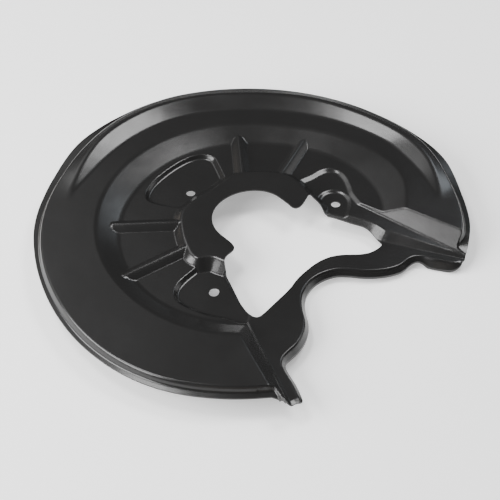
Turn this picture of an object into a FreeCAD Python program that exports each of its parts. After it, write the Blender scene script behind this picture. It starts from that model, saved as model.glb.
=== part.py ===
import FreeCAD, Part
import os, math

os.makedirs("parts", exist_ok=True)
V = FreeCAD.Vector

# ---------------------------------------------------------------- brake dust shield
# One pressed sheet-steel panel, millimetres.  Z is the wheel axis.  All plan curves are given
# about the hub axis, and heights from the plane of the flat outer ring; at the end the panel is
# moved so that the centre of its plan lies on the origin and its lowest point at z = 0.

# --- sheet and levels
SHEET = 1.0            # sheet thickness
Z_RING = 0.0           # flat outer ring
Z_PLATE = -6.1         # recessed plate
Z_COLLAR = -2.0        # raised collar round the hub hole
Z_SEAT = -8.8          # the three bolt seats
Z_STEP2 = -7.6         # shelf above the third seat
Z_RIB = -2.3           # crest of the four radial ribs
RIM_STEP_W = 2.0       # plan width of the steep step at the rim
RIM_DROP = 1.1         # fall of the rim flange beyond the step
FLANGE_W = 2.8         # plan width of the turned-down edge of the caliper strap
HOLE_D = 6.6           # fixing holes, clearance for M6
FOLD_SLOPE = 0.58      # long fold beside the tail
FOLD_W = 2.6           # small step at the foot of that fold
FOLD_H = 1.8
END_SLOPE = 1.0        # steep wall at the open end of the dish
BAND_SLOPE = 0.60      # gentle slope from the end shelf to the strap

# --- circular curves: (angle in degrees, radius or height)
R_OUT = [(0, 152.8), (5, 153.1), (12, 153.6), (18, 155.0), (24, 156.2), (29, 155.6), (35, 154.2), (45, 152.4),
         (60, 151.0), (75, 150.3), (90, 150.4), (105, 151.9), (120, 153.8), (132, 154.0), (140, 154.9), (147, 155.7),
         (153, 154.9), (160, 153.6), (169, 153.5), (176, 154.1), (183, 154.5), (190, 154.4), (196, 154.7),
         (203, 155.4), (209, 156.5), (216, 158.0), (222, 159.6), (229, 161.2), (235, 162.5), (241, 163.5),
         (248, 163.9), (254, 163.4), (260, 162.3), (266, 161.2), (272, 160.0), (277, 159.4), (290, 158.0), (320, 152.0),
         (348, 149.6), (352, 150.9), (356, 152.1)]
R_EDGE = [(0, 146.8), (8, 146.7), (16, 147.0), (23, 147.7), (30, 148.1), (37, 147.6), (45, 146.4), (57, 145.3),
          (70, 144.6), (82, 144.4), (94, 144.8), (106, 146.0), (118, 147.3), (126, 147.2), (134, 146.6), (142, 146.0),
          (150, 145.6), (160, 145.6), (169, 146.5), (180, 148.0), (190, 149.2), (200, 150.5), (209, 151.9),
          (218, 153.9), (227, 156.2), (237, 158.3), (246, 159.0), (255, 158.0), (260, 157.0), (267, 155.7),
          (276, 154.0), (290, 152.0), (320, 142.0), (340, 136.0), (348, 137.0), (350.5, 138.4), (352.2, 141.0),
          (354, 145.4), (356, 146.4)]
STEP_H = [(0, 4.5), (4, 4.5), (180, 4.5), (300, 4.5), (330, 9.5), (350, 9.5), (352.5, 8.0), (355, 5.4), (357, 4.6)]   # depth of the rim step
Z_EDGE = [(0, 0), (11, 0), (17, 0.8), (23, 2.4), (29, 3.6), (36, 4.0), (46, 3.8), (60, 3.3), (80, 3.0), (100, 3.2),
          (120, 3.8), (133, 4.0), (142, 3.5), (150, 2.4), (158, 1.2), (165, 0.4), (172, 0), (260, 0)]
R_FOOT = [(0, 132.6), (9, 132.4), (13, 131.6), (18, 131.0), (23, 130.4), (29, 130.0), (37, 129.7), (45, 128.0),
          (53, 125.8), (61, 123.8), (68, 122.6), (78, 121.4), (90, 121.2), (102, 122.8), (112, 125.2), (124, 126.2),
          (138, 126.1), (151, 126.3), (160, 127.6), (169, 131.0), (180, 132.0), (260, 132.0)]
R_CREST = [(0, 134.6), (8, 134.6), (12, 136.3), (18, 139.0), (24, 140.8), (30, 141.4), (36, 140.8), (43, 139.0),
           (52, 137.3), (63, 136.5), (74, 135.6), (84, 134.4), (92, 134.2), (101, 135.6), (110, 137.5), (118, 139.0),
           (128, 139.9), (138, 139.8), (146, 139.0), (153, 137.2), (160, 135.2), (169, 134.0), (180, 134.4), (260, 134.5)]
Z_CREST = [(0, 0), (7, 0), (12, 0.9), (18, 2.6), (23, 4.1), (29, 5.2), (37, 6.0), (50, 6.1), (75, 6.0), (95, 6.0),
           (120, 6.3), (136, 6.3), (144, 6.0), (149, 5.3), (154, 4.3), (160, 2.8), (165, 1.4), (170, 0.3), (174, 0), (260, 0)]
R_DISH = [(0, 107.2), (6, 108.6), (13, 112.6), (20, 116.2), (28, 117.2), (36, 115.7), (46, 112.6), (57, 109.2),
          (70, 105.6), (82, 103.6), (92, 103.4), (104, 105.0), (119, 107.2), (135, 108.8), (156, 109.7), (180, 110.5),
          (200, 111.2), (220, 112.2), (238, 113.6), (250, 113.8), (262, 112.4), (280, 110.0), (330, 106.5)]
R_PLATE = [(0, 92.2), (7, 93.0), (20, 94.8), (33, 94.8), (50, 92.6), (68, 89.6), (84, 88.2), (100, 88.2), (115, 88.6),
           (135, 89.4), (156, 91.0), (174, 93.4), (188, 95.5), (203, 97.7), (220, 99.4), (238, 100.0), (255, 99.0),
           (280, 97.0), (330, 92.0)]

# --- closed plan outlines
COLLAR = [(44, 16), (40.5, 24), (36.5, 31.5), (31.5, 40), (25.5, 46.3), (15, 49.6), (0, 50.3), (-9, 49.4), (-16, 46.3),
          (-22, 39), (-30, 31), (-38, 23.5), (-45, 16), (-50, 9), (-51.2, 1), (-50.4, -9), (-48.6, -19), (-45.6, -29),
          (-42.5, -36), (-38.5, -39.6), (-33, -38.6), (-27, -38.8), (-20, -42.4), (-12, -44), (-6, -34), (10, -10), (34, 4)]
SEAT1 = [(-75.4, 28.5), (-74.6, 35), (-70.5, 44), (-61, 56.5), (-50.7, 66.6), (-42.8, 71.2), (-36.5, 72), (-31.8, 70),
         (-29.8, 66.5), (-26.6, 57.6), (-22, 45), (-14, 36), (-34, 10), (-50, 17), (-60, 19.3), (-69, 22), (-74, 25)]
SEAT3 = [(-34, -41), (-38.5, -47.8), (-46.4, -57.4), (-50.2, -64.5), (-50.8, -70), (-48.4, -76), (-41, -81.6),
         (-31, -86.6), (-20, -89.6), (-4, -93), (-4, -60), (-16, -38)]
SHELF2 = [(29, 36), (35.4, 42.6), (43.5, 47.8), (51.4, 54.2), (56.6, 55.6), (61.6, 53.6), (65.4, 47.5), (67.6, 39),
          (69.4, 30), (74, 20), (78, 8), (66, -2), (44, 4), (36, 24)]
SEAT2 = [(48.2, 21.5), (49.4, 28.2), (53, 32.6), (58.2, 34.2), (63.4, 32.4), (67, 27.8), (67.8, 21.6), (66.4, 14),
         (62, 4), (50, 2), (44, 12)]
OPENING = [(-5.2, 29.3), (1.8, 30.0), (8.8, 28.9), (15.0, 25.7), (20.0, 20.9), (24.8, 15.3), (27.4, 12.0), (30.2, 10.9),
           (33.0, 12.4), (35.4, 15.8), (38.1, 21.6), (40.1, 26.4), (41.3, 27.2), (42.6, 25.4), (45.2, 21.4), (48.3, 17.4),
           (50.2, 13.4), (52.4, 11.0), (57.1, 9.3), (63.6, 6.6), (70.0, 3.9), (76.2, 1.5), (80.0, -0.6), (83.4, -4.0),
           (86.3, -8.4), (89.4, -13.4), (89.9, -15.6), (88.8, -17.6), (85.6, -20.8), (81.3, -23.7), (74.6, -25.7),
           (67.5, -26.1), (60.4, -26.6), (53.6, -28.5), (47.5, -31.9), (42.2, -36.4), (37.4, -41.7), (32.8, -47.3),
           (28.9, -53.1), (25.6, -59.3), (21.9, -65.1), (17.5, -71.0), (13.3, -76.7), (9.1, -82.4), (6.0, -86.4),
           (3.6, -88.6), (1.4, -89.2), (-0.9, -88.2), (-3.2, -85.9), (-6.0, -82.0), (-8.7, -76.6), (-11.2, -69.9),
           (-13.6, -63.1), (-16.0, -56.3), (-18.4, -49.8), (-19.6, -44.5), (-19.6, -40.6), (-17.8, -36.8), (-14.8, -33.4),
           (-13.4, -30.6), (-13.9, -27.8), (-16.2, -24.2), (-20.3, -19.6), (-24.7, -14.4), (-27.8, -8.2), (-29.2, -1.5),
           (-28.9, 5.3), (-26.8, 12.0), (-22.9, 18.2), (-17.8, 23.2), (-11.8, 27.0)]

# --- outer edge of the strap and tail, from the open end of the dish round to the rim again
STRAP_EDGE = [(144.9, -32.6), (143.4, -34.8), (140.6, -36.2), (137.0, -36.2), (131.0, -34.6), (125.2, -33.2), (121.0, -31.6),
              (118.0, -30.2), (114.6, -29.6), (111.2, -30.4), (107.6, -33.4), (104.6, -36.8), (100.6, -39.8), (92.8, -42.9),
              (84.0, -44.6), (74.9, -44.7), (66.2, -43.6), (57.4, -43.6), (49.6, -46.6), (43.2, -51.4), (38.6, -57.4),
              (35.6, -64.4), (34.4, -72.4), (34.8, -81.2), (36.0, -88.5), (36.2, -95.0), (35.0, -102.6), (32.4, -109.8),
              (28.6, -116.4), (24.0, -122.0), (21.2, -126.0), (20.2, -129.8), (20.8, -134.0), (23.2, -140.2),
              (26.2, -147.2), (28.6, -154.6), (30.0, -160.4), (29.6, -162.8), (27.6, -163.8), (25.4, -164.6),
              (23.4, -166.2), (21.4, -166.4), (19.4, -164.8), (16.6, -161.4)]
FLANGE_H = [0.0, 1.6, 3.6, 5.2, 6.2, 6.2, 5.8, 4.2, 3.0, 3.4, 4.0, 4.3, 4.4, 4.4, 4.4, 4.4, 4.4, 4.4, 4.6, 4.8, 5, 5, 5, 5, 5, 5, 5, 5, 5.0,
            5.2, 4.6, 4.0, 3.4, 3.0, 2.6, 2.4, 2.0, 1.4, 1.0, 0.8, 0.6, 0.4, 0.2, 0.0]

# --- straight features
RIBS = [((-99.0, -5.4), (-50.0, -2.6), 5.4), ((-88.0, -56.2), (-46.0, -27.0), 5.4),
        ((-11.2, 92.0), (-7.8, 46.0), 5.0), ((37.6, 87.0), (19.0, 46.0), 4.5)]
FOLD_P, FOLD_D = (-20.3, -53.4), (0.3374, -0.9414)      # foot of the long fold: point and direction
END_P, END_D = (83.0, 14.8), (0.8289, -0.5594)          # foot of the steep end wall
END_Z0, END_DZ = -8.0, -0.0475                          # level of the end shelf at that point, and its fall
BAND = [(40.0, 21.0), (59.2, 13.0), (75.8, 6.2), (85.0, 1.9), (89.6, -1.6), (93.4, -5.0), (101.3, -8.4), (113.1, -13.6),
        (129.1, -20.3), (160.0, -33.0)]                 # edge where the end shelf turns down to the strap
TAIL_P, TAIL_D = (8.0, -148.8), (0.5420, -0.8403)       # where the tail cuts off the rim
CUT_P, CUT_D = (-19.0, -50.0), (0.7655, 0.6434)         # line across the opening; the strap lies below it
STRAP_C = (-13.05, -0.0100, -0.0505, 0.0)               # strap level: c + a x + b y

HOLES = [(-45.6, 34.3), (59.2, 22.2)]                   # round fixing holes
SLOT = (-26.6, -66.0, 1.5, 76.0)                        # third hole, a short slot: x, y, travel, angle


def clamp(t, a=0.0, b=1.0):
    return a if t < a else b if t > b else t


def ramp(t, w):
    # a corner rounded by a parabola: 0 before -w, t after w
    if t <= -w:
        return 0.0
    if t >= w:
        return t
    return (t + w) ** 2 / (4.0 * w)


def smax(a, b, w):
    return b + ramp(a - b, w)


def smin(a, b, w):
    return b - ramp(b - a, w)


def make_curve(tab):
    # smooth closed curve through (angle, value) pairs
    n = len(tab)
    A = [t[0] for t in tab]
    F = [float(t[1]) for t in tab]
    m = []
    for i in range(n):
        a0, a1, a2 = A[i - 1] - (360 if i == 0 else 0), A[i], A[(i + 1) % n] + (360 if i == n - 1 else 0)
        s0, s1 = (F[i] - F[i - 1]) / (a1 - a0), (F[(i + 1) % n] - F[i]) / (a2 - a1)
        m.append(0.0 if s0 * s1 <= 0 else (s0 * (a2 - a1) + s1 * (a1 - a0)) / (a2 - a0))
    table = []
    i = 0
    for k in range(720):
        a = k * 0.5
        while i < n - 1 and A[i + 1] <= a:
            i += 1
        if a < A[0]:
            j, a0 = n - 1, A[n - 1] - 360
        else:
            j, a0 = i, A[i]
        a1 = A[(j + 1) % n] + (360 if (j == n - 1 and a >= A[0]) else 0)
        h = a1 - a0
        t = (a - a0) / h
        f0, f1, m0, m1 = F[j], F[(j + 1) % n], m[j] * h, m[(j + 1) % n] * h
        table.append((2 * t ** 3 - 3 * t ** 2 + 1) * f0 + (t ** 3 - 2 * t ** 2 + t) * m0
                     + (-2 * t ** 3 + 3 * t ** 2) * f1 + (t ** 3 - t ** 2) * m1)
    # two light smoothing passes
    for _ in range(6):
        table = [(table[k - 1] + 2 * table[k] + table[(k + 1) % 720]) / 4 for k in range(720)]
    return table


def value(table, a):
    u = (a % 360.0) * 2.0
    k = int(u)
    t = u - k
    return table[k % 720] * (1 - t) + table[(k + 1) % 720] * t


def smooth_loop(pts, n=5, closed=True):
    # centripetal-like rounding: points along a Catmull-Rom curve through the given points
    out = []
    m = len(pts)
    rng = range(m) if closed else range(m - 1)
    for i in rng:
        if closed:
            p0, p1, p2, p3 = pts[i - 1], pts[i], pts[(i + 1) % m], pts[(i + 2) % m]
        else:
            p0, p1, p2, p3 = pts[max(i - 1, 0)], pts[i], pts[i + 1], pts[min(i + 2, m - 1)]
        for k in range(n):
            t = k / float(n)
            q = []
            for c in range(len(p1)):
                a, b, d, e = p0[c], p1[c], p2[c], p3[c]
                q.append(0.5 * (2 * b + (d - a) * t + (2 * a - 5 * b + 4 * d - e) * t * t
                                + (3 * b - a - 3 * d + e) * t ** 3))
            out.append(tuple(q))
    if not closed:
        out.append(tuple(float(v) for v in pts[-1]))
    return out


def inside_distance(loop, x, y):
    # distance to a closed outline, positive inside; far away it is only known to be far
    x0, x1, y0, y1 = loop[0]
    if x < x0 - 12 or x > x1 + 12 or y < y0 - 12 or y > y1 + 12:
        return -1000.0
    loop = loop[1]
    best = 1e9
    ins = False
    n = len(loop)
    x0, y0 = loop[n - 1]
    for x1, y1 in loop:
        dx, dy = x1 - x0, y1 - y0
        t = ((x - x0) * dx + (y - y0) * dy) / (dx * dx + dy * dy)
        t = 0.0 if t < 0 else 1.0 if t > 1 else t
        ex, ey = x - x0 - t * dx, y - y0 - t * dy
        d = ex * ex + ey * ey
        if d < best:
            best = d
        if (y0 > y) != (y1 > y) and x < (x1 - x0) * (y - y0) / (y1 - y0) + x0:
            ins = not ins
        x0, y0 = x1, y1
    d = math.sqrt(best)
    return d if ins else -d


def edge_distance(line, x, y):
    # signed distance to the strap's edge (positive on the sheet) and the depth of the turned-down edge there
    best, val, sgn = 1e9, 0.0, 1.0
    x0, y0, v0 = line[0]
    for x1, y1, v1 in line[1:]:
        dx, dy = x1 - x0, y1 - y0
        t = ((x - x0) * dx + (y - y0) * dy) / (dx * dx + dy * dy)
        t = 0.0 if t < 0 else 1.0 if t > 1 else t
        ex, ey = x - x0 - t * dx, y - y0 - t * dy
        d = ex * ex + ey * ey
        if d < best:
            best, val = d, v0 + t * (v1 - v0)
            sgn = 1.0 if ex * dy - ey * dx > 0 else -1.0
            if (t == 0.0 and x0 == line[0][0]) or (t == 1.0 and x1 == line[-1][0]):
                sgn = 1.0
        x0, y0, v0 = x1, y1, v1
    return sgn * math.sqrt(best), val


CV = dict((k, make_curve(t)) for k, t in dict(step=STEP_H, out=R_OUT, edge=R_EDGE, zedge=Z_EDGE, foot=R_FOOT, crest=R_CREST,
                                             zcrest=Z_CREST, dish=R_DISH, plate=R_PLATE).items())
LOOPS = {}
for k, p in dict(collar=COLLAR, seat1=SEAT1, seat2=SEAT2, seat3=SEAT3, shelf2=SHELF2).items():
    q = smooth_loop(p)
    LOOPS[k] = ((min(t[0] for t in q), max(t[0] for t in q), min(t[1] for t in q), max(t[1] for t in q)), q)
EDGE_LINE = smooth_loop([(p[0], p[1], h) for p, h in zip(STRAP_EDGE, FLANGE_H)], 3, False)
BAND_LINE = smooth_loop([(p[0], p[1], 0.0) for p in BAND], 3, False)


def side(p, d, x, y):
    # signed distance from a line, positive to the left of its direction
    return -(x - p[0]) * d[1] + (y - p[1]) * d[0]


def along(p, d, x, y):
    return (x - p[0]) * d[0] + (y - p[1]) * d[1]


def profile(r, pts):
    # piecewise straight section with rounded bends: (radius, height, rounding)
    z = pts[0][1]
    m0 = 0.0
    for i in range(len(pts)):
        if i < len(pts) - 1:
            m1 = (pts[i + 1][1] - pts[i][1]) / (pts[i + 1][0] - pts[i][0])
        else:
            m1 = m0
        z += (m1 - m0) * ramp(r - pts[i][0], pts[i][2])
        m0 = m1
    return z


def height(x, y):
    # top face of the sheet
    r = math.hypot(x, y)
    a = math.degrees(math.atan2(y, x)) % 360.0
    re, ro, ze, st = value(CV["edge"], a), value(CV["out"], a), value(CV["zedge"], a), value(CV["step"], a)
    tail = clamp(side(TAIL_P, TAIL_D, x, y) / 1.6) * clamp((60.0 - x) / 10.0) * clamp((-100.0 - y) / 10.0)
    keep = 1.0 - tail
    z = profile(r, [(value(CV["plate"], a), Z_PLATE, 2.0), (value(CV["dish"], a), 0.0, 2.0),
                    (value(CV["foot"], a), 0.0, 1.6), (value(CV["crest"], a), value(CV["zcrest"], a), 2.0),
                    (re, ze, 0.9), (re + RIM_STEP_W * st / 4.5, ze - st * keep, 0.8),
                    (ro, ze - (st + RIM_DROP) * keep, 0.5)])
    if r < 110.0:
        # bolt seats pressed down from the plate
        for key, zs, sl in (("seat1", Z_SEAT, 1.0), ("seat3", Z_SEAT, 1.0), ("shelf2", Z_STEP2, 0.45), ("seat2", Z_SEAT, 0.5)):
            d = inside_distance(LOOPS[key], x, y)
            z = smin(z, zs + sl * ramp(-d, 1.0), 0.35)
        # collar round the hub hole
        d = inside_distance(LOOPS["collar"], x, y)
        z = smax(z, Z_COLLAR - 0.8 * ramp(-d, 1.2), 0.6)
    # radial ribs
    for p, q, w in RIBS:
        L = math.hypot(q[0] - p[0], q[1] - p[1])
        u = ((q[0] - p[0]) / L, (q[1] - p[1]) / L)
        s, d = along(p, u, x, y), abs(side(p, u, x, y))
        if d < w + 3 and -6 < s < L + 6:
            zr = Z_RIB - (Z_RIB - Z_PLATE) / w * (math.hypot(d, 0.9) - 0.9) - 0.8 * max(-s, 0) - 1.5 * max(s - L, 0)
            z = smax(z, zr, 0.3)
    # strap, long fold, open end of the dish
    zs = STRAP_C[0] + STRAP_C[1] * x + STRAP_C[2] * y
    df = -side(FOLD_P, FOLD_D, x, y)
    fold = FOLD_H * (ramp(df + FOLD_W, 0.6) - ramp(df, 0.6)) / FOLD_W + FOLD_SLOPE * ramp(df, 1.0)
    sh = END_Z0 + END_DZ * along(END_P, END_D, x, y)
    db = edge_distance(BAND_LINE, x, y)[0]
    end = smax(zs, sh - BAND_SLOPE * ramp(db, 1.0), 0.4) + END_SLOPE * ramp(side(END_P, END_D, x, y), 0.9)
    w = clamp((x - 25.0) / 20.0)
    low = zs + fold if x < 25 else end if x > 45 else (zs + fold) * (1 - w) + end * w
    low += 3.0 * max(side(CUT_P, CUT_D, x, y), 0.0)
    z = smin(z, low, 0.7)
    # turned-down edge of the strap
    if 10 < x and y < -24:
        d, h = edge_distance(EDGE_LINE, x, y)
        z -= h / FLANGE_W * (ramp(FLANGE_W - d, 0.7) - ramp(-1.0 - d, 0.7))
    return z


def faces_at(x, y):
    # top and bottom height; the bottom keeps the sheet thickness square to the slope
    z = height(x, y)
    e = 0.3
    gx = (height(x + e, y) - height(x - e, y)) / (2 * e)
    gy = (height(x, y + e) - height(x, y - e)) / (2 * e)
    return z, z - SHEET * math.sqrt(1.0 + min(gx * gx + gy * gy, 5.0))


# ---------------------------------------------------------------- the pressed sheet
# columns: angles, closer together at the tail fold and at the open end of the dish
columns = []
a = 0.0
while a < 359.99:
    columns.append(a)
    fine = clamp((abs((a - 268.0)) - 14.0) / 12.0)
    fine = min(fine, clamp((abs((a - 352.0 + 180.0) % 360.0 - 180.0) - 20.0) / 12.0))
    a += 1.0 + 1.0 * fine
k = 360.0 / a
columns = [c * k for c in columns]


COUNTS = (15, 15, 5, 4, 5, 5, 4, 3, 4, 4, 6, 4, 3)      # rows between two stops
BREAKS = (1, 2, 5, 6, 10)                               # stops where one patch ends and the next begins


def rows(a):
    # radii along one column, close together on every circular bend
    rp, rd, rf = value(CV["plate"], a), value(CV["dish"], a), value(CV["foot"], a)
    rc, re, ro = max(value(CV["crest"], a), rf + 6.0), value(CV["edge"], a), value(CV["out"], a)
    re = max(re, rc + 5.5)
    ro = max(ro, re + 4.5)
    far = ro + 6.0 + 9.0 * clamp(1.0 - abs(a - 279.0) / 14.0)
    stops = (24.0, (24.0 + rp - 3.0) / 2, rp - 3.0, rp + 2.5, rd - 2.5, rd + 3.0, rf - 2.5, rf + 2.0, rc - 2.0, rc + 2.5,
             re - 1.5, re + 3.2, ro + 1.0, far)
    out = []
    for i in range(len(COUNTS)):
        for k in range(COUNTS[i]):
            out.append(stops[i] + (stops[i + 1] - stops[i]) * k / float(COUNTS[i]))
    out.append(far)
    return out


top, bottom = [], []
for a in columns:
    c, s = math.cos(math.radians(a)), math.sin(math.radians(a))
    tt, bb = [], []
    for r in rows(a):
        zt, zb = faces_at(r * c, r * s)
        tt.append(V(r * c, r * s, zt))
        bb.append(V(r * c, r * s, zb))
    top.append(tt)
    bottom.append(bb)


def knots(n):
    # clamped cubic knots for n poles
    return [4] + [1] * (n - 4) + [4], [float(i) for i in range(n - 2)]


def patch(poles):
    nu, nv = len(poles), len(poles[0])
    (mu, ku), (mv, kv) = knots(nu), knots(nv)
    s = Part.BSplineSurface()
    s.buildFromPolesMultsKnots(poles, mu, mv, ku, kv, False, False, 3, 3)
    return s.toShape()


def wall(p, q):
    # upright strip between two edge curves with the same knots
    m, k = knots(len(p))
    s = Part.BSplineSurface()
    s.buildFromPolesMultsKnots([p, q], [2, 2], m, [0.0, 1.0], k, False, False, 1, 3)
    return s.toShape()


nc, nr = len(columns), len(top[0])
SECTORS = (0, 22, 44, 66, 88, 110, 132, 154, 176, 198, 220, 242, 256, 269, 291, 306, 322, 336)
cs = [min(range(nc), key=lambda i: abs(columns[i] - q)) for q in SECTORS] + [nc]
rs = [0] + [sum(COUNTS[:b]) for b in BREAKS] + [nr - 1]
faces = []
for i in range(len(SECTORS)):
    idx = [c % nc for c in range(cs[i], cs[i + 1] + 1)]
    for j in range(len(rs) - 1):
        for grid in (top, bottom):
            faces.append(patch([grid[c][rs[j]:rs[j + 1] + 1] for c in idx]))
    for r in (0, nr - 1):
        faces.append(wall([top[c][r] for c in idx], [bottom[c][r] for c in idx]))
shell = Part.Shell(faces)
shell.sewShape()
sheet = Part.Solid(shell)
if sheet.Volume < 0:
    sheet.reverse()
print("blank sheet", sheet.isValid(), "%.0f" % sheet.Volume, "columns", nc, "rows", nr)

# ---------------------------------------------------------------- outline, opening and holes


def spline(pts, closed=False):
    c = Part.BSplineCurve()
    if closed:
        c.interpolate([V(p[0], p[1], -60) for p in pts], PeriodicFlag=True)
    else:
        c.interpolate([V(p[0], p[1], -60) for p in pts])
    return c.toShape()


rim = []
for i in range(145):
    a = 348.2 + (633.9 - 348.2) * i / 144.0
    r = value(CV["out"], a)
    rim.append((r * math.cos(math.radians(a)), r * math.sin(math.radians(a))))
strap = [rim[0]] + STRAP_EDGE + [rim[-1]]
strap = list(reversed(strap))
PARTS = (0, 6, 11, 15, 20, 25, 29, 33, 37, 41, len(strap) - 1)
outer = Part.Wire([spline(rim)] + [spline(strap[a:b + 1]) for a, b in zip(PARTS[:-1], PARTS[1:])])
blank = Part.Face(outer).extrude(V(0, 0, 120))
cutters = [Part.Face(Part.Wire([spline(OPENING, True)])).extrude(V(0, 0, 120))]
for x, y in HOLES:
    cutters.append(Part.makeCylinder(HOLE_D / 2.0, 120, V(x, y, -60)))
sx, sy, travel, ang = SLOT
bar = Part.makeBox(travel, HOLE_D, 120, V(-travel / 2.0, -HOLE_D / 2.0, -60))
bar = bar.fuse(Part.makeCylinder(HOLE_D / 2.0, 120, V(-travel / 2.0, 0, -60)))
bar = bar.fuse(Part.makeCylinder(HOLE_D / 2.0, 120, V(travel / 2.0, 0, -60))).removeSplitter()
bar.rotate(V(0, 0, 0), V(0, 0, 1), ang)
bar.translate(V(sx, sy, 0))
cutters.append(bar)

shield = sheet.common(blank)
print("outline", shield.isValid(), "%.0f" % shield.Volume)
for c in cutters:
    shield = shield.cut(c)
    print("cut", shield.isValid(), "%.0f" % shield.Volume)
solids = sorted(shield.Solids, key=lambda q: q.Volume)
shield = solids[-1]

# the row's origin: centre of the bounding box in plan, lowest point at z = 0
pts, tri = shield.tessellate(0.05)
x0, x1 = min(p.x for p in pts), max(p.x for p in pts)
y0, y1 = min(p.y for p in pts), max(p.y for p in pts)
z0, z1 = min(p.z for p in pts), max(p.z for p in pts)
shift = V(-(x0 + x1) / 2.0, -(y0 + y1) / 2.0, -z0)
shield.translate(shift)
print("solids", len(solids), "valid", shield.isValid(), "volume mm3 %.0f" % shield.Volume, "faces", len(shield.Faces))
print("size %.1f %.1f %.1f" % (x1 - x0, y1 - y0, z1 - z0), "hub axis at %.4f %.4f, ring plane at %.4f" % (shift.x, shift.y, shift.z))
shield.exportStep("parts/dust_shield.step")
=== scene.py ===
import bpy, math
import numpy as np
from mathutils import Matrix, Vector
from mathutils.geometry import delaunay_2d_cdt


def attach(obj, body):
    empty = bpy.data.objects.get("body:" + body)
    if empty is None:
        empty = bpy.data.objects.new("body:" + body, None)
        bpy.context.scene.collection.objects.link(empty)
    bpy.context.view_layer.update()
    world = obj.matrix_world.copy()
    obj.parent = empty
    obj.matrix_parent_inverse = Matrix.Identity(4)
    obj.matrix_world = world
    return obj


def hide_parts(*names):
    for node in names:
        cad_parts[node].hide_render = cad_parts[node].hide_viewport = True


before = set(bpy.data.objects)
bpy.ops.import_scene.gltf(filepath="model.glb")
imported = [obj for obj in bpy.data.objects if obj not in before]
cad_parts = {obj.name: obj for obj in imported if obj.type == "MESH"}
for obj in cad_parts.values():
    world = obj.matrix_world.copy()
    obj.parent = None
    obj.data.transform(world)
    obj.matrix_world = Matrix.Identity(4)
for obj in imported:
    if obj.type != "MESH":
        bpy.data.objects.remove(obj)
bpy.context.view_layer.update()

# ================================================================ the pressed panel, in millimetres about the hub axis

# --- sheet and levels
SHEET = 1.0            # sheet thickness
Z_RING = 0.0           # flat outer ring
Z_PLATE = -6.1         # recessed plate
Z_COLLAR = -2.0        # raised collar round the hub hole
Z_SEAT = -8.8          # the three bolt seats
Z_STEP2 = -7.6         # shelf above the third seat
Z_RIB = -2.3           # crest of the four radial ribs
RIM_STEP_W = 2.0       # plan width of the steep step at the rim
RIM_DROP = 1.1         # fall of the rim flange beyond the step
FLANGE_W = 2.8         # plan width of the turned-down edge of the caliper strap
HOLE_D = 6.6           # fixing holes, clearance for M6
FOLD_SLOPE = 0.58      # long fold beside the tail
FOLD_W = 2.6           # small step at the foot of that fold
FOLD_H = 1.8
END_SLOPE = 1.0        # steep wall at the open end of the dish
BAND_SLOPE = 0.60      # gentle slope from the end shelf to the strap

# --- circular curves: (angle in degrees, radius or height)
R_OUT = [(0, 152.8), (5, 153.1), (12, 153.6), (18, 155.0), (24, 156.2), (29, 155.6), (35, 154.2), (45, 152.4),
         (60, 151.0), (75, 150.3), (90, 150.4), (105, 151.9), (120, 153.8), (132, 154.0), (140, 154.9), (147, 155.7),
         (153, 154.9), (160, 153.6), (169, 153.5), (176, 154.1), (183, 154.5), (190, 154.4), (196, 154.7),
         (203, 155.4), (209, 156.5), (216, 158.0), (222, 159.6), (229, 161.2), (235, 162.5), (241, 163.5),
         (248, 163.9), (254, 163.4), (260, 162.3), (266, 161.2), (272, 160.0), (277, 159.4), (290, 158.0), (320, 152.0),
         (348, 149.6), (352, 150.9), (356, 152.1)]
R_EDGE = [(0, 146.8), (8, 146.7), (16, 147.0), (23, 147.7), (30, 148.1), (37, 147.6), (45, 146.4), (57, 145.3),
          (70, 144.6), (82, 144.4), (94, 144.8), (106, 146.0), (118, 147.3), (126, 147.2), (134, 146.6), (142, 146.0),
          (150, 145.6), (160, 145.6), (169, 146.5), (180, 148.0), (190, 149.2), (200, 150.5), (209, 151.9),
          (218, 153.9), (227, 156.2), (237, 158.3), (246, 159.0), (255, 158.0), (260, 157.0), (267, 155.7),
          (276, 154.0), (290, 152.0), (320, 142.0), (340, 136.0), (348, 137.0), (350.5, 138.4), (352.2, 141.0),
          (354, 145.4), (356, 146.4)]
STEP_H = [(0, 4.5), (4, 4.5), (180, 4.5), (300, 4.5), (330, 9.5), (350, 9.5), (352.5, 8.0), (355, 5.4), (357, 4.6)]   # depth of the rim step
Z_EDGE = [(0, 0), (11, 0), (17, 0.8), (23, 2.4), (29, 3.6), (36, 4.0), (46, 3.8), (60, 3.3), (80, 3.0), (100, 3.2),
          (120, 3.8), (133, 4.0), (142, 3.5), (150, 2.4), (158, 1.2), (165, 0.4), (172, 0), (260, 0)]
R_FOOT = [(0, 132.6), (9, 132.4), (13, 131.6), (18, 131.0), (23, 130.4), (29, 130.0), (37, 129.7), (45, 128.0),
          (53, 125.8), (61, 123.8), (68, 122.6), (78, 121.4), (90, 121.2), (102, 122.8), (112, 125.2), (124, 126.2),
          (138, 126.1), (151, 126.3), (160, 127.6), (169, 131.0), (180, 132.0), (260, 132.0)]
R_CREST = [(0, 134.6), (8, 134.6), (12, 136.3), (18, 139.0), (24, 140.8), (30, 141.4), (36, 140.8), (43, 139.0),
           (52, 137.3), (63, 136.5), (74, 135.6), (84, 134.4), (92, 134.2), (101, 135.6), (110, 137.5), (118, 139.0),
           (128, 139.9), (138, 139.8), (146, 139.0), (153, 137.2), (160, 135.2), (169, 134.0), (180, 134.4), (260, 134.5)]
Z_CREST = [(0, 0), (7, 0), (12, 0.9), (18, 2.6), (23, 4.1), (29, 5.2), (37, 6.0), (50, 6.1), (75, 6.0), (95, 6.0),
           (120, 6.3), (136, 6.3), (144, 6.0), (149, 5.3), (154, 4.3), (160, 2.8), (165, 1.4), (170, 0.3), (174, 0), (260, 0)]
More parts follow.
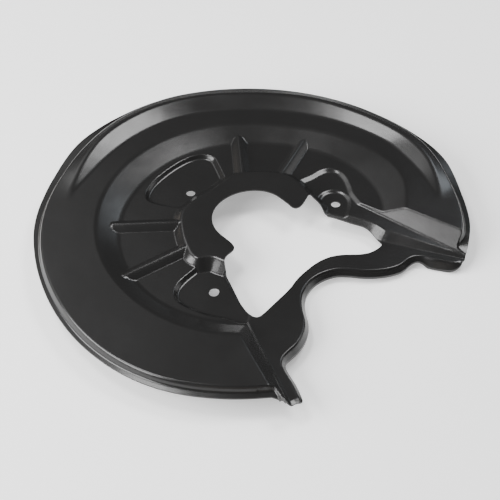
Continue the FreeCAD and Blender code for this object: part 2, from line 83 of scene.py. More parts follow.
R_DISH = [(0, 107.2), (6, 108.6), (13, 112.6), (20, 116.2), (28, 117.2), (36, 115.7), (46, 112.6), (57, 109.2),
          (70, 105.6), (82, 103.6), (92, 103.4), (104, 105.0), (119, 107.2), (135, 108.8), (156, 109.7), (180, 110.5),
          (200, 111.2), (220, 112.2), (238, 113.6), (250, 113.8), (262, 112.4), (280, 110.0), (330, 106.5)]
R_PLATE = [(0, 92.2), (7, 93.0), (20, 94.8), (33, 94.8), (50, 92.6), (68, 89.6), (84, 88.2), (100, 88.2), (115, 88.6),
           (135, 89.4), (156, 91.0), (174, 93.4), (188, 95.5), (203, 97.7), (220, 99.4), (238, 100.0), (255, 99.0),
           (280, 97.0), (330, 92.0)]

# --- closed plan outlines
COLLAR = [(44, 16), (40.5, 24), (36.5, 31.5), (31.5, 40), (25.5, 46.3), (15, 49.6), (0, 50.3), (-9, 49.4), (-16, 46.3),
          (-22, 39), (-30, 31), (-38, 23.5), (-45, 16), (-50, 9), (-51.2, 1), (-50.4, -9), (-48.6, -19), (-45.6, -29),
          (-42.5, -36), (-38.5, -39.6), (-33, -38.6), (-27, -38.8), (-20, -42.4), (-12, -44), (-6, -34), (10, -10), (34, 4)]
SEAT1 = [(-75.4, 28.5), (-74.6, 35), (-70.5, 44), (-61, 56.5), (-50.7, 66.6), (-42.8, 71.2), (-36.5, 72), (-31.8, 70),
         (-29.8, 66.5), (-26.6, 57.6), (-22, 45), (-14, 36), (-34, 10), (-50, 17), (-60, 19.3), (-69, 22), (-74, 25)]
SEAT3 = [(-34, -41), (-38.5, -47.8), (-46.4, -57.4), (-50.2, -64.5), (-50.8, -70), (-48.4, -76), (-41, -81.6),
         (-31, -86.6), (-20, -89.6), (-4, -93), (-4, -60), (-16, -38)]
SHELF2 = [(29, 36), (35.4, 42.6), (43.5, 47.8), (51.4, 54.2), (56.6, 55.6), (61.6, 53.6), (65.4, 47.5), (67.6, 39),
          (69.4, 30), (74, 20), (78, 8), (66, -2), (44, 4), (36, 24)]
SEAT2 = [(48.2, 21.5), (49.4, 28.2), (53, 32.6), (58.2, 34.2), (63.4, 32.4), (67, 27.8), (67.8, 21.6), (66.4, 14),
         (62, 4), (50, 2), (44, 12)]
OPENING = [(-5.2, 29.3), (1.8, 30.0), (8.8, 28.9), (15.0, 25.7), (20.0, 20.9), (24.8, 15.3), (27.4, 12.0), (30.2, 10.9),
           (33.0, 12.4), (35.4, 15.8), (38.1, 21.6), (40.1, 26.4), (41.3, 27.2), (42.6, 25.4), (45.2, 21.4), (48.3, 17.4),
           (50.2, 13.4), (52.4, 11.0), (57.1, 9.3), (63.6, 6.6), (70.0, 3.9), (76.2, 1.5), (80.0, -0.6), (83.4, -4.0),
           (86.3, -8.4), (89.4, -13.4), (89.9, -15.6), (88.8, -17.6), (85.6, -20.8), (81.3, -23.7), (74.6, -25.7),
           (67.5, -26.1), (60.4, -26.6), (53.6, -28.5), (47.5, -31.9), (42.2, -36.4), (37.4, -41.7), (32.8, -47.3),
           (28.9, -53.1), (25.6, -59.3), (21.9, -65.1), (17.5, -71.0), (13.3, -76.7), (9.1, -82.4), (6.0, -86.4),
           (3.6, -88.6), (1.4, -89.2), (-0.9, -88.2), (-3.2, -85.9), (-6.0, -82.0), (-8.7, -76.6), (-11.2, -69.9),
           (-13.6, -63.1), (-16.0, -56.3), (-18.4, -49.8), (-19.6, -44.5), (-19.6, -40.6), (-17.8, -36.8), (-14.8, -33.4),
           (-13.4, -30.6), (-13.9, -27.8), (-16.2, -24.2), (-20.3, -19.6), (-24.7, -14.4), (-27.8, -8.2), (-29.2, -1.5),
           (-28.9, 5.3), (-26.8, 12.0), (-22.9, 18.2), (-17.8, 23.2), (-11.8, 27.0)]

# --- outer edge of the strap and tail, from the open end of the dish round to the rim again
STRAP_EDGE = [(144.9, -32.6), (143.4, -34.8), (140.6, -36.2), (137.0, -36.2), (131.0, -34.6), (125.2, -33.2), (121.0, -31.6),
              (118.0, -30.2), (114.6, -29.6), (111.2, -30.4), (107.6, -33.4), (104.6, -36.8), (100.6, -39.8), (92.8, -42.9),
              (84.0, -44.6), (74.9, -44.7), (66.2, -43.6), (57.4, -43.6), (49.6, -46.6), (43.2, -51.4), (38.6, -57.4),
              (35.6, -64.4), (34.4, -72.4), (34.8, -81.2), (36.0, -88.5), (36.2, -95.0), (35.0, -102.6), (32.4, -109.8),
              (28.6, -116.4), (24.0, -122.0), (21.2, -126.0), (20.2, -129.8), (20.8, -134.0), (23.2, -140.2),
              (26.2, -147.2), (28.6, -154.6), (30.0, -160.4), (29.6, -162.8), (27.6, -163.8), (25.4, -164.6),
              (23.4, -166.2), (21.4, -166.4), (19.4, -164.8), (16.6, -161.4)]
FLANGE_H = [0.0, 1.6, 3.6, 5.2, 6.2, 6.2, 5.8, 4.2, 3.0, 3.4, 4.0, 4.3, 4.4, 4.4, 4.4, 4.4, 4.4, 4.4, 4.6, 4.8, 5, 5, 5, 5, 5, 5, 5, 5, 5.0,
            5.2, 4.6, 4.0, 3.4, 3.0, 2.6, 2.4, 2.0, 1.4, 1.0, 0.8, 0.6, 0.4, 0.2, 0.0]

# --- straight features
RIBS = [((-99.0, -5.4), (-50.0, -2.6), 5.4), ((-88.0, -56.2), (-46.0, -27.0), 5.4),
        ((-11.2, 92.0), (-7.8, 46.0), 5.0), ((37.6, 87.0), (19.0, 46.0), 4.5)]
FOLD_P, FOLD_D = (-20.3, -53.4), (0.3374, -0.9414)      # foot of the long fold: point and direction
END_P, END_D = (83.0, 14.8), (0.8289, -0.5594)          # foot of the steep end wall
END_Z0, END_DZ = -8.0, -0.0475                          # level of the end shelf at that point, and its fall
BAND = [(40.0, 21.0), (59.2, 13.0), (75.8, 6.2), (85.0, 1.9), (89.6, -1.6), (93.4, -5.0), (101.3, -8.4), (113.1, -13.6),
        (129.1, -20.3), (160.0, -33.0)]                 # edge where the end shelf turns down to the strap
TAIL_P, TAIL_D = (8.0, -148.8), (0.5420, -0.8403)       # where the tail cuts off the rim
CUT_P, CUT_D = (-19.0, -50.0), (0.7655, 0.6434)         # line across the opening; the strap lies below it
STRAP_C = (-13.05, -0.0100, -0.0505, 0.0)               # strap level: c + a x + b y

HOLES = [(-45.6, 34.3), (59.2, 22.2)]                   # round fixing holes
SLOT = (-26.6, -66.0, 1.5, 76.0)                        # third hole, a short slot: x, y, travel, angle



SHIFT = np.array([0.7725, 8.0252, 20.7370])       # from the hub frame to the row's frame, mm

cl = lambda t, a=0.0, b=1.0: np.clip(t, a, b)


def ramp(t, w):
    return np.where(t <= -w, 0.0, np.where(t >= w, t, (t + w) ** 2 / (4.0 * w)))


def smax(a, b, w):
    return b + ramp(a - b, w)


def smin(a, b, w):
    return b - ramp(b - a, w)


def make_curve(tab):
    n = len(tab)
    A = [t[0] for t in tab]
    F = [float(t[1]) for t in tab]
    m = []
    for i in range(n):
        a0, a1, a2 = A[i - 1] - (360 if i == 0 else 0), A[i], A[(i + 1) % n] + (360 if i == n - 1 else 0)
        s0, s1 = (F[i] - F[i - 1]) / (a1 - a0), (F[(i + 1) % n] - F[i]) / (a2 - a1)
        m.append(0.0 if s0 * s1 <= 0 else (s0 * (a2 - a1) + s1 * (a1 - a0)) / (a2 - a0))
    out = []
    i = 0
    for k in range(720):
        a = k * 0.5
        while i < n - 1 and A[i + 1] <= a:
            i += 1
        j, a0 = (n - 1, A[n - 1] - 360) if a < A[0] else (i, A[i])
        a1 = A[(j + 1) % n] + (360 if (j == n - 1 and a >= A[0]) else 0)
        h = a1 - a0
        t = (a - a0) / h
        f0, f1, m0, m1 = F[j], F[(j + 1) % n], m[j] * h, m[(j + 1) % n] * h
        out.append((2 * t ** 3 - 3 * t ** 2 + 1) * f0 + (t ** 3 - 2 * t ** 2 + t) * m0
                   + (-2 * t ** 3 + 3 * t ** 2) * f1 + (t ** 3 - t ** 2) * m1)
    q = np.array(out)
    for _ in range(6):
        q = (np.roll(q, 1) + 2 * q + np.roll(q, -1)) / 4
    return q


def val(table, a):
    u = np.mod(a, 360.0) * 2.0
    k = np.floor(u).astype(int)
    t = u - k
    return table[k % 720] * (1 - t) + table[(k + 1) % 720] * t


def smooth_loop(pts, n=5, closed=True):
    out = []
    m = len(pts)
    for i in range(m if closed else m - 1):
        if closed:
            p = [np.array(pts[(i + d) % m], float) for d in (-1, 0, 1, 2)]
        else:
            p = [np.array(pts[min(max(i + d, 0), m - 1)], float) for d in (-1, 0, 1, 2)]
        for k in range(n):
            t = k / float(n)
            out.append(0.5 * (2 * p[1] + (p[2] - p[0]) * t + (2 * p[0] - 5 * p[1] + 4 * p[2] - p[3]) * t * t
                              + (3 * p[1] - p[0] - 3 * p[2] + p[3]) * t ** 3))
    if not closed:
        out.append(np.array(pts[-1], float))
    return np.array(out)


def seg_dist(P, A, B, chunk=4000):
    # nearest segment: distance, its index, the fraction along it and the side
    D = B - A
    L2 = (D ** 2).sum(1)
    dist, idx, frac, cr = (np.empty(len(P)) for _ in range(4))
    for s in range(0, len(P), chunk):
        Q = P[s:s + chunk]
        E = Q[:, None, :] - A[None]
        t = np.clip((E * D[None]).sum(2) / L2[None], 0, 1)
        R = E - t[..., None] * D[None]
        d2 = (R ** 2).sum(2)
        k = d2.argmin(1)
        r = np.arange(len(Q))
        dist[s:s + chunk] = np.sqrt(d2[r, k])
        idx[s:s + chunk] = k
        frac[s:s + chunk] = t[r, k]
        cr[s:s + chunk] = R[r, k, 0] * D[k, 1] - R[r, k, 1] * D[k, 0]
    return dist, idx.astype(int), frac, cr


def in_poly(P, loop, chunk=8000):
    A, B = loop, np.roll(loop, -1, 0)
    out = np.zeros(len(P), bool)
    for s in range(0, len(P), chunk):
        x, y = P[s:s + chunk, 0][:, None], P[s:s + chunk, 1][:, None]
        c = ((A[:, 1][None] > y) != (B[:, 1][None] > y))
        xi = (B[:, 0] - A[:, 0])[None] * (y - A[:, 1][None]) / np.where(B[:, 1] == A[:, 1], 1e-9, B[:, 1] - A[:, 1])[None] + A[:, 0][None]
        out[s:s + chunk] = (np.logical_and(c, x < xi).sum(1) % 2) == 1
    return out


def loop_dist(P, loop):
    d = np.full(len(P), -1000.0)
    lo, hi = loop.min(0) - 12, loop.max(0) + 12
    k = ((P > lo) & (P < hi)).all(1)
    if k.any():
        q, _, _, _ = seg_dist(P[k], loop, np.roll(loop, -1, 0))
        d[k] = np.where(in_poly(P[k], loop), q, -q)
    return d


CV = {k: make_curve(t) for k, t in dict(step=STEP_H, out=R_OUT, edge=R_EDGE, zedge=Z_EDGE, foot=R_FOOT, crest=R_CREST,
                                        zcrest=Z_CREST, dish=R_DISH, plate=R_PLATE).items()}
LOOPS = {k: smooth_loop(p) for k, p in dict(collar=COLLAR, seat1=SEAT1, seat2=SEAT2, seat3=SEAT3, shelf2=SHELF2).items()}
EDGE_LINE = smooth_loop([(p[0], p[1], h) for p, h in zip(STRAP_EDGE, FLANGE_H)], 4, False)
BAND_LINE = smooth_loop(BAND, 3, False)


def side(p, d, x, y):
    return -(x - p[0]) * d[1] + (y - p[1]) * d[0]


def along(p, d, x, y):
    return (x - p[0]) * d[0] + (y - p[1]) * d[1]


def profile(r, pts):
    z = pts[0][1] + 0 * r
    m0 = 0.0
    for i in range(len(pts)):
        m1 = (pts[i + 1][1] - pts[i][1]) / (pts[i + 1][0] - pts[i][0]) if i < len(pts) - 1 else m0
        z = z + (m1 - m0) * ramp(r - pts[i][0], pts[i][2])
        m0 = m1
    return z


def height(P):
    x, y = P[:, 0], P[:, 1]
    r = np.hypot(x, y)
    a = np.degrees(np.arctan2(y, x)) % 360.0
    re, ro, ze, st = val(CV["edge"], a), val(CV["out"], a), val(CV["zedge"], a), val(CV["step"], a)
    tail = cl(side(TAIL_P, TAIL_D, x, y) / 1.6) * cl((60.0 - x) / 10.0) * cl((-100.0 - y) / 10.0)
    keep = 1.0 - tail
    z = profile(r, [(val(CV["plate"], a), Z_PLATE, 2.0), (val(CV["dish"], a), 0.0, 2.0),
                    (val(CV["foot"], a), 0.0, 1.6), (val(CV["crest"], a), val(CV["zcrest"], a), 2.0),
                    (re, ze, 0.65), (re + RIM_STEP_W * st / 4.5, ze - st * keep, 0.55), (ro, ze - (st + RIM_DROP) * keep, 0.5)])
    near = r < 110.0
    for key, zs, sl in (("seat1", Z_SEAT, 1.0), ("seat3", Z_SEAT, 1.0), ("shelf2", Z_STEP2, 0.45), ("seat2", Z_SEAT, 0.5)):
        d = loop_dist(P, LOOPS[key])
        z = np.where(near, smin(z, zs + sl * ramp(-d, 1.0), 0.35), z)
    d = loop_dist(P, LOOPS["collar"])
    z = np.where(near, smax(z, Z_COLLAR - 0.8 * ramp(-d, 1.2), 0.6), z)
    for p, q, w in RIBS:
        L = math.hypot(q[0] - p[0], q[1] - p[1])
        u = ((q[0] - p[0]) / L, (q[1] - p[1]) / L)
        s, d = along(p, u, x, y), np.abs(side(p, u, x, y))
        zr = Z_RIB - (Z_RIB - Z_PLATE) / w * (np.hypot(d, 0.9) - 0.9) - 0.8 * np.maximum(-s, 0) - 1.5 * np.maximum(s - L, 0)
        z = np.where((d < w + 3) & (s > -6) & (s < L + 6), smax(z, zr, 0.3), z)
    zs = STRAP_C[0] + STRAP_C[1] * x + STRAP_C[2] * y
    df = -side(FOLD_P, FOLD_D, x, y)
    fold = FOLD_H * (ramp(df + FOLD_W, 0.6) - ramp(df, 0.6)) / FOLD_W + FOLD_SLOPE * ramp(df, 1.0)
    sh = END_Z0 + END_DZ * along(END_P, END_D, x, y)
    bd, bi, bt, bc = seg_dist(P, BAND_LINE[:-1], BAND_LINE[1:])
    db = np.where(bc > 0, bd, -bd)
    end = smax(zs, sh - BAND_SLOPE * ramp(db, 1.0), 0.4) + END_SLOPE * ramp(side(END_P, END_D, x, y), 0.9)
    w = cl((x - 25.0) / 20.0)
    low = (zs + fold) * (1 - w) + end * w
    low = low + 3.0 * np.maximum(side(CUT_P, CUT_D, x, y), 0.0)
    z = smin(z, low, 0.7)
    k = (x > 10) & (y < -24)
    if k.any():
        Q = P[k]
        d, i, t, c = seg_dist(Q, EDGE_LINE[:-1, :2], EDGE_LINE[1:, :2])
        h = EDGE_LINE[i, 2] * (1 - t) + EDGE_LINE[i + 1, 2] * t
        sg = np.where(c > 0, 1.0, -1.0)
        sg[((i == 0) & (t == 0)) | ((i == len(EDGE_LINE) - 2) & (t == 1))] = 1.0
        d = d * sg
        z[k] -= h / FLANGE_W * (ramp(FLANGE_W - d, 0.7) - ramp(-1.0 - d, 0.7))
    return z


def slope(P, e=0.06):
    ex, ey = np.array([e, 0.0]), np.array([0.0, e])
    return np.stack([(height(P + ex) - height(P - ex)) / (2 * e), (height(P + ey) - height(P - ey)) / (2 * e)], 1)


# ---------------------------------------------------------------- outlines
def resample(L, step):
    seg = np.sqrt((np.diff(np.vstack([L, L[:1]]), axis=0) ** 2).sum(1))
    s = np.concatenate([[0], np.cumsum(seg)])
    n = max(int(round(s[-1] / step)), 12)
    u = np.linspace(0, s[-1], n, endpoint=False)
    LL = np.vstack([L, L[:1]])
    return np.stack([np.interp(u, s, LL[:, 0]), np.interp(u, s, LL[:, 1])], 1)


ar = np.linspace(348.2, 633.9, 573)
rr = val(CV["out"], ar)
rim = np.stack([rr * np.cos(np.radians(ar)), rr * np.sin(np.radians(ar))], 1)
strap = smooth_loop([tuple(rim[0])] + [tuple(p) for p in STRAP_EDGE] + [tuple(rim[-1])], 6, False)
outer = resample(np.vstack([rim, strap[::-1][1:-1]]), 1.15)
opening = resample(smooth_loop(OPENING, 6), 0.9)
loops = [outer, opening]
for hx, hy in HOLES:
    t = np.linspace(0, 2 * math.pi, 40, endpoint=False)
    loops.append(np.stack([hx + HOLE_D / 2 * np.cos(t), hy + HOLE_D / 2 * np.sin(t)], 1))
sx, sy, travel, ang = SLOT
u = np.array([math.cos(math.radians(ang)), math.sin(math.radians(ang))])
n_ = np.array([-u[1], u[0]])
t = np.linspace(-math.pi / 2, math.pi / 2, 20)
cap = np.outer(np.cos(t), u) * HOLE_D / 2 + np.outer(np.sin(t), n_) * HOLE_D / 2
loops.append(np.vstack([cap + u * travel / 2, -cap - u * travel / 2]) + np.array([sx, sy]))


def inside(P):
    k = in_poly(P, loops[0])
    for L in loops[1:]:
        k &= ~in_poly(P, L)
    return k


def edge_gap(P):
    g = np.full(len(P), 1e9)
    for L in loops:
        near = ((P > L.min(0) - 4) & (P < L.max(0) + 4)).all(1)
        if near.any():
            d = seg_dist(P[near], L, np.roll(L, -1, 0))[0]
            g[near] = np.minimum(g[near], d)
    return g


def points(fine, ncol):
    # rows that follow the circular bends, and an even lattice, denser on the bends, inside them and on the strap
    pts = []
    ca = np.linspace(-9.5, 272.5, ncol)
    rp, rd, rf = val(CV["plate"], ca), val(CV["dish"], ca), val(CV["foot"], ca)
    rc, re, ro = val(CV["crest"], ca), val(CV["edge"], ca), val(CV["out"], ca)
    rows = []
    for c, w in ((rp, 2.0), (rd, 2.0), (rf, 1.6), (rc, 2.0), (re, 0.9), (re + RIM_STEP_W, 0.8)):
        for q in (-1.12, -0.7, -0.3, 0.0, 0.3, 0.7, 1.12) if fine else (-1.0, -0.3, 0.3, 1.0):
            rows.append(c + q * w)
    for q in (0.25, 0.5, 0.75):
        rows.append(rp + (rd - rp) * q)
        rows.append(rd + (rf - rd) * q)
        rows.append(rc + 2.6 + (re - rc - 4.0) * q)
    for q in (0.3, 0.6, 0.8):
        rows.append(re + RIM_STEP_W + 0.9 + (ro - re - RIM_STEP_W - 0.9) * q)
    rows.append((rf + rc) / 2)
    R = np.sort(np.array(rows), 0)
    keep = np.ones_like(R, bool)
    last = np.full(len(ca), -9.0)
    gap = 0.34 if fine else 0.7
    for i in range(len(R)):
        keep[i] = R[i] - last > gap
        last = np.where(keep[i], R[i], last)
    X, Y = R * np.cos(np.radians(ca)), R * np.sin(np.radians(ca))
    ring = np.stack([X[keep], Y[keep]], 1)
    # the straight folds cut across the rows at both ends: there the lattice is used
    df = -side(FOLD_P, FOLD_D, ring[:, 0], ring[:, 1])
    de = side(END_P, END_D, ring[:, 0], ring[:, 1])
    ring = ring[~((ring[:, 1] < 0) & (ring[:, 0] > -60) & (df < 14)) & ~((ring[:, 0] > 60) & (ring[:, 1] < 60) & (de < 12)) & ~((ring[:, 0] > 125) & (ring[:, 1] < -2.0))]
    h = 0.82 if fine else 1.5
    gx = np.arange(-170, 165, h)
    gy = np.arange(-175, 160, h * 0.866)
    GX, GY = np.meshgrid(gx, gy)
    J, I = np.meshgrid(np.arange(len(gy)), np.arange(len(gx)), indexing="ij")
    GX = GX + (J % 2) * h / 2
    G = np.stack([GX.ravel(), GY.ravel()], 1)
    I, J = I.ravel(), J.ravel()
    r = np.hypot(G[:, 0], G[:, 1])
    a = np.degrees(np.arctan2(G[:, 1], G[:, 0])) % 360
    df = -side(FOLD_P, FOLD_D, G[:, 0], G[:, 1])
    de = side(END_P, END_D, G[:, 0], G[:, 1])
    zone = (r < val(CV["plate"], a) - 2.6) | ((G[:, 1] < 0) & (G[:, 0] > -60) & (df < 13.5)) | ((G[:, 0] > 60) & (G[:, 1] < 60) & (de < 11.5))
    zone |= ((a > 275) & (a < 346)) | ((G[:, 0] > 125.4) & (G[:, 1] < -2.5))
    k = zone & (r < 172)
    G, I, J = G[k], I[k], J[k]
    k = inside(G)
    G, I, J = G[k], I[k], J[k]
    g = slope(G, 0.4)
    # bend measure: how far the slope turns within a short distance
    b = np.zeros(len(G))
    for dx, dy in ((h, 0), (0, h), (-h, 0), (0, -h)):
        b = np.maximum(b, np.sqrt(((slope(G + np.array([dx, dy]), 0.4) - g) ** 2).sum(1)))
    lev = np.where(b > 0.06, 1, np.where(b > 0.015, 2, 4))
    k = (I % lev == 0) & (J % lev == 0)
    return np.vstack([ring, G[k]])


def rows_along(line, offsets, step, closed=False):
    # points beside a line at the given distances, positive to its left
    L = np.asarray(line, float)[:, :2]
    if closed:
        L = np.vstack([L, L[:1]])
    s = np.concatenate([[0], np.cumsum(np.sqrt((np.diff(L, axis=0) ** 2).sum(1)))])
    out = []
    for k, o in enumerate(offsets):
        u = np.arange(0.0 if k % 2 else step / 2, s[-1], step)
        c = np.stack([np.interp(u, s, L[:, 0]), np.interp(u, s, L[:, 1])], 1)
        e = np.stack([np.interp(u + 0.4, s, L[:, 0]) - np.interp(u - 0.4, s, L[:, 0]), np.interp(u + 0.4, s, L[:, 1]) - np.interp(u - 0.4, s, L[:, 1])], 1)
        e /= np.linalg.norm(e, axis=1)[:, None] + 1e-12
        out.append(c + o * np.stack([-e[:, 1], e[:, 0]], 1))
    return np.vstack(out)


def far_line(p, d, s0, s1):
    return [(p[0] + d[0] * s0, p[1] + d[1] * s0), (p[0] + d[0] * s1, p[1] + d[1] * s1)]


def features(fine):
    st = 1.1 if fine else 2.0
    F = []
    F.append(rows_along(far_line(FOLD_P, FOLD_D, -6, 118), [1.1, 0.6, 0.0, -0.6, -1.1, -1.6, -2.1, -2.6, -3.1, -3.7], st))
    F.append(rows_along(far_line(END_P, END_D, -12, 82), [-1.2, -0.6, 0, 0.6, 1.2], st))
    F.append(rows_along(far_line(TAIL_P, TAIL_D, -30, 16), [-0.5, 0.0, 0.5, 1.1, 1.6, 2.1], 0.7 if fine else 1.4))
    F.append(rows_along(BAND_LINE, [1.2, 0.6, 0, -0.6, -1.2], st))
    F.append(rows_along(EDGE_LINE, [-FLANGE_W - 0.9, -FLANGE_W - 0.45, -FLANGE_W, -FLANGE_W + 0.45, -FLANGE_W + 0.9, -1.1], st))
    for p, r, w in RIBS:
        a, b = np.array(p), np.array(r)
        u = (b - a) / np.linalg.norm(b - a)
        F.append(rows_along([a - 4 * u, b + 4 * u], [-w - 0.5, -w, -w + 0.5, -w + 1.5, -1.4, -0.7, 0, 0.7, 1.4, w - 1.5, w - 0.5, w, w + 0.5], 0.9 if fine else 2.0))
    for k, o in (("collar", [-1.4, -0.7, 0, 0.7, 1.4]), ("seat1", [-1.1, -0.5, 0, 0.5, 1.1]), ("seat2", [-1.1, -0.5, 0, 0.5, 1.1]),
                 ("seat3", [-1.1, -0.5, 0, 0.5, 1.1]), ("shelf2", [-1.1, -0.5, 0, 0.5, 1.1])):
        F.append(rows_along(LOOPS[k], o, st, True))
    return np.vstack(F)


def thin(P, gap):
    # drops points that lie closer than gap to one kept before them
    cell = gap / 1.415
    seen = {}
    keep = []
    for i, (x, y) in enumerate(P):
        cx, cy = int(math.floor(x / cell)), int(math.floor(y / cell))
        ok = True
        for a in (-2, -1, 0, 1, 2):
            for b_ in (-2, -1, 0, 1, 2):
                j = seen.get((cx + a, cy + b_))
                if j is not None and (P[j][0] - x) ** 2 + (P[j][1] - y) ** 2 < gap * gap:
                    ok = False
                    break
            if not ok:
                break
        if ok:
            seen[(cx, cy)] = i
            keep.append(i)
    return P[keep]


def surface(fine, ncol, step_edge):
    P = np.vstack([features(fine), points(fine, ncol)])
    P = P[inside(P)]
    P = P[edge_gap(P) > (0.42 if fine else 0.8)]
    P = thin(P, 0.38 if fine else 0.8)
    L = loops
    verts = [Vector(p) for l in L for p in l]
    n0 = len(verts)
    edges, k = [], 0
    for l in L:
        edges += [(k + i, k + (i + 1) % len(l)) for i in range(len(l))]
        k += len(l)
    verts += [Vector(p) for p in P]
    out = delaunay_2d_cdt(verts, edges, [], 0, 1e-5)
    V2 = np.array([(v[0], v[1]) for v in out[0]])
    F = np.array(out[2])
    c = V2[F].mean(1)
    F = F[inside(c)]
    # turn all triangles the same way
    A = V2[F]
    cr = (A[:, 1, 0] - A[:, 0, 0]) * (A[:, 2, 1] - A[:, 0, 1]) - (A[:, 1, 1] - A[:, 0, 1]) * (A[:, 2, 0] - A[:, 0, 0])
    F[cr < 0] = F[cr < 0][:, ::-1]
    F = F[np.abs(cr) > 1e-7]
    return V2, F


def mesh_object(name, verts, faces, normals, mat):
    me = bpy.data.meshes.new(name)
    me.from_pydata([tuple(v) for v in verts], [], [tuple(int(i) for i in f) for f in faces])
    me.update()
    me.polygons.foreach_set("use_smooth", [True] * len(me.polygons))
    me.normals_split_custom_set_from_vertices([tuple(n) for n in normals])
    ob = bpy.data.objects.new(name, me)
    bpy.context.scene.collection.objects.link(ob)
    me.materials.append(mat)
    return ob


def unit(N):
    return N / np.linalg.norm(N, axis=1)[:, None]


def build_sheet(mat):
    TV, TF = surface(True, 250, 0.42)
    BV, BF = surface(False, 150, 0.8)
    n0 = sum(len(l) for l in loops)
    assert np.allclose(TV[:n0], np.vstack(loops), atol=1e-4) and np.allclose(BV[:n0], np.vstack(loops), atol=1e-4)
    zt, gt = height(TV), slope(TV)
    zb, gb = height(BV), slope(BV)
    zb = zb - SHEET * np.sqrt(1 + np.minimum((gb ** 2).sum(1), 5.0))
    zb = np.maximum(zb, -SHIFT[2] + 0.02)
    nt = unit(np.stack([-gt[:, 0], -gt[:, 1], np.ones(len(gt))], 1))
    nb = unit(np.stack([gb[:, 0], gb[:, 1], -np.ones(len(gb))], 1))
    A = np.hstack([TV, zt[:, None]])
    B = np.hstack([BV, zb[:, None]])
    # cut edge: a straight wall between the top and the bottom
    verts, norms, faces = [A, B], [], []
    off = len(A)
    loop_normals = [nt[f] for f in TF]
    faces += [tuple(f) for f in TF]
    faces += [tuple((f + off)[::-1]) for f in BF]
    loop_normals += [nb[f[::-1]] for f in BF]
    k = 0
    extra, base = [], len(A) + len(B)
    for li, L in enumerate(loops):
        n = len(L)
        d = np.roll(L, -1, 0) - np.roll(L, 1, 0)
        d = d / np.linalg.norm(d, axis=1)[:, None]
        on = np.stack([d[:, 1], -d[:, 0]], 1)
        area = 0.5 * (L[:, 0] * np.roll(L[:, 1], -1) - np.roll(L[:, 0], -1) * L[:, 1]).sum()
        if area < 0:
            on = -on
        if li > 0:
            on = -on
        for i in range(n):
            j = (i + 1) % n
            t0, t1, b0, b1 = k + i, k + j, off + k + i, off + k + j
            N0, N1 = (on[i][0], on[i][1], 0.0), (on[j][0], on[j][1], 0.0)
            q = (t0, b0, b1, t1) if ((area > 0) == (li == 0)) else (t1, b1, b0, t0)
            nn = (N0, N0, N1, N1) if q[0] == t0 else (N1, N1, N0, N0)
            faces.append(q)
            loop_normals.append(np.array(nn))
        k += n
    V3 = (np.vstack(verts) + SHIFT) / 1000.0
    me = bpy.data.meshes.new("dust_shield_visual")
    me.from_pydata([tuple(v) for v in V3], [], [tuple(int(i) for i in f) for f in faces])
    me.update()
    me.polygons.foreach_set("use_smooth", [True] * len(me.polygons))
    me.normals_split_custom_set([tuple(n) for n in np.vstack(loop_normals)])
    ob = bpy.data.objects.new("dust_shield_visual", me)
    bpy.context.scene.collection.objects.link(ob)
    me.materials.append(mat)
    print("visual mesh", len(V3), "vertices", sum(len(f) - 2 for f in faces), "triangles")
    return ob


# ================================================================ materials
def new_material(name):
    m = bpy.data.materials.new(name)
    m.use_nodes = True
    nt = m.node_tree
    nt.nodes.clear()
    return m, nt


def paint():
    m, nt = new_material("black_coating")
    N, Lk = nt.nodes, nt.links
    out = N.new("ShaderNodeOutputMaterial")
    b = N.new("ShaderNodeBsdfPrincipled")
    Lk.new(b.outputs["BSDF"], out.inputs["Surface"])
    b.inputs["Base Color"].default_value = (0.0075, 0.0073, 0.0072, 1)
    b.inputs["Metallic"].default_value = 0.0
    b.inputs["Specular IOR Level"].default_value = 0.5
    b.inputs["IOR"].default_value = 1.5
    tc = N.new("ShaderNodeTexCoord")
    # roughness drifts a little over the panel
    n1 = N.new("ShaderNodeTexNoise")
    n1.inputs["Scale"].default_value = 28.0
    n1.inputs["Detail"].default_value = 4.0
    Lk.new(tc.outputs["Object"], n1.inputs["Vector"])
    r = N.new("ShaderNodeMapRange")
    r.inputs["From Min"].default_value = 0.3
    r.inputs["From Max"].default_value = 0.7
    r.inputs["To Min"].default_value = 0.20
    r.inputs["To Max"].default_value = 0.26
    Lk.new(n1.outputs["Fac"], r.inputs["Value"])
    Lk.new(r.outputs["Result"], b.inputs["Roughness"])
    # orange peel
    n2 = N.new("ShaderNodeTexNoise")
    n2.inputs["Scale"].default_value = 420.0
    n2.inputs["Detail"].default_value = 2.0
    Lk.new(tc.outputs["Object"], n2.inputs["Vector"])
    n3 = N.new("ShaderNodeTexNoise")
    n3.inputs["Scale"].default_value = 70.0
    n3.inputs["Detail"].default_value = 1.0
    Lk.new(tc.outputs["Object"], n3.inputs["Vector"])
    b1 = N.new("ShaderNodeBump")
    b1.inputs["Strength"].default_value = 0.10
    b1.inputs["Distance"].default_value = 0.00008
    Lk.new(n2.outputs["Fac"], b1.inputs["Height"])
    b2 = N.new("ShaderNodeBump")
    b2.inputs["Strength"].default_value = 0.17
    b2.inputs["Distance"].default_value = 0.0006
    Lk.new(n3.outputs["Fac"], b2.inputs["Height"])
    Lk.new(b1.outputs["Normal"], b2.inputs["Normal"])
    Lk.new(b2.outputs["Normal"], b.inputs["Normal"])
    return m


def floor_material():
    m, nt = new_material("pale_floor")
    out = nt.nodes.new("ShaderNodeOutputMaterial")
    b = nt.nodes.new("ShaderNodeBsdfPrincipled")
    nt.links.new(b.outputs["BSDF"], out.inputs["Surface"])
    b.inputs["Base Color"].default_value = (0.86, 0.86, 0.86, 1)
    b.inputs["Roughness"].default_value = 0.9
    b.inputs["Specular IOR Level"].default_value = 0.1
    b.inputs["Emission Color"].default_value = (1, 1, 1, 1)
    b.inputs["Emission Strength"].default_value = 0.44
    return m


shield = build_sheet(paint())
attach(shield, "root")
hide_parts("dust_shield")

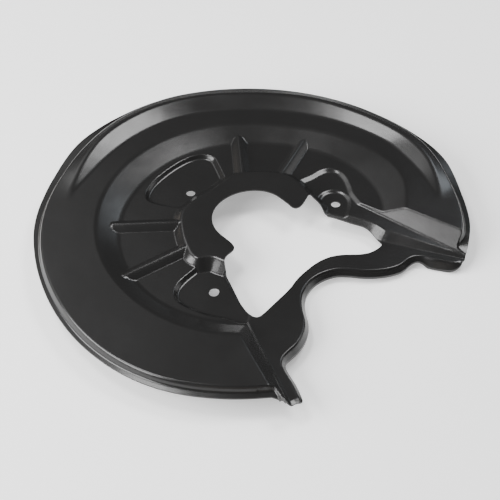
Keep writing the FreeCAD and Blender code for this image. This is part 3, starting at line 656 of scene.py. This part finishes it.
# ================================================================ floor, light and camera
bpy.ops.mesh.primitive_plane_add(size=6.0, location=(0, 0, -0.0005))
floor = bpy.context.object
floor.name = "floor"
floor.data.materials.append(floor_material())

hub = Vector([float(v) / 1000.0 for v in SHIFT])


def area(name, loc, size_x, size_y, power, color=(1, 1, 1), target=(0, 0, 0)):
    l = bpy.data.lights.new(name, "AREA")
    l.shape = "RECTANGLE"
    l.size, l.size_y = size_x, size_y
    l.energy = power
    l.color = color
    o = bpy.data.objects.new(name, l)
    bpy.context.scene.collection.objects.link(o)
    o.location = hub + Vector(loc)
    d = (hub + Vector(target)) - o.location
    o.rotation_euler = d.to_track_quat("-Z", "Y").to_euler()
    return o


def aim(az, el, dist):
    # a place given by its bearing from the back of the scene, positive to the right, and its height angle, in degrees
    a, h = math.radians(az), math.radians(el)
    return (dist * math.sin(a) * math.cos(h), dist * math.cos(a) * math.cos(h), dist * math.sin(h))


area("back_right", aim(53, 60, 1.4), 0.56, 0.44, 11)
area("back_right_low", aim(34, 41, 1.5), 0.34, 0.30, 1.4, (0.84, 0.92, 1.0))
area("high_left", aim(-78, 68, 1.4), 0.50, 0.40, 11)
area("low_left", aim(-112, 28, 1.5), 1.5, 0.95, 60)
area("back_left", aim(-44, 46, 1.7), 0.75, 0.55, 3.0)
area("back_left_wide", aim(-50, 45, 1.9), 2.1, 1.1, 2.6)
area("warm_back_left", aim(-46, 6, 1.6), 0.7, 0.25, 0.6, (1.0, 0.84, 0.68))
area("warm_front", aim(175, 8, 1.5), 1.2, 0.25, 0.35, (1.0, 0.8, 0.62))
area("right_low", aim(70, 20, 1.5), 0.55, 0.45, 1.4)

world = bpy.data.worlds.new("world")
bpy.context.scene.world = world
world.use_nodes = True
world.node_tree.nodes["Background"].inputs["Color"].default_value = (1, 1, 1, 1)
world.node_tree.nodes["Background"].inputs["Strength"].default_value = 0.17

cam = bpy.data.cameras.new("camera")
cam.sensor_width = 36.0
cam.lens = 93.6
cam.dof.use_dof = False
cam.clip_start, cam.clip_end = 0.05, 20
co = bpy.data.objects.new("camera", cam)
bpy.context.scene.collection.objects.link(co)
co.location = hub + Vector((-0.0025, -0.6746, 0.6182))
e = math.radians(44.0)
co.rotation_euler = Vector((0.0, math.cos(e), -math.sin(e))).to_track_quat("-Z", "Y").to_euler()
bpy.context.scene.camera = co

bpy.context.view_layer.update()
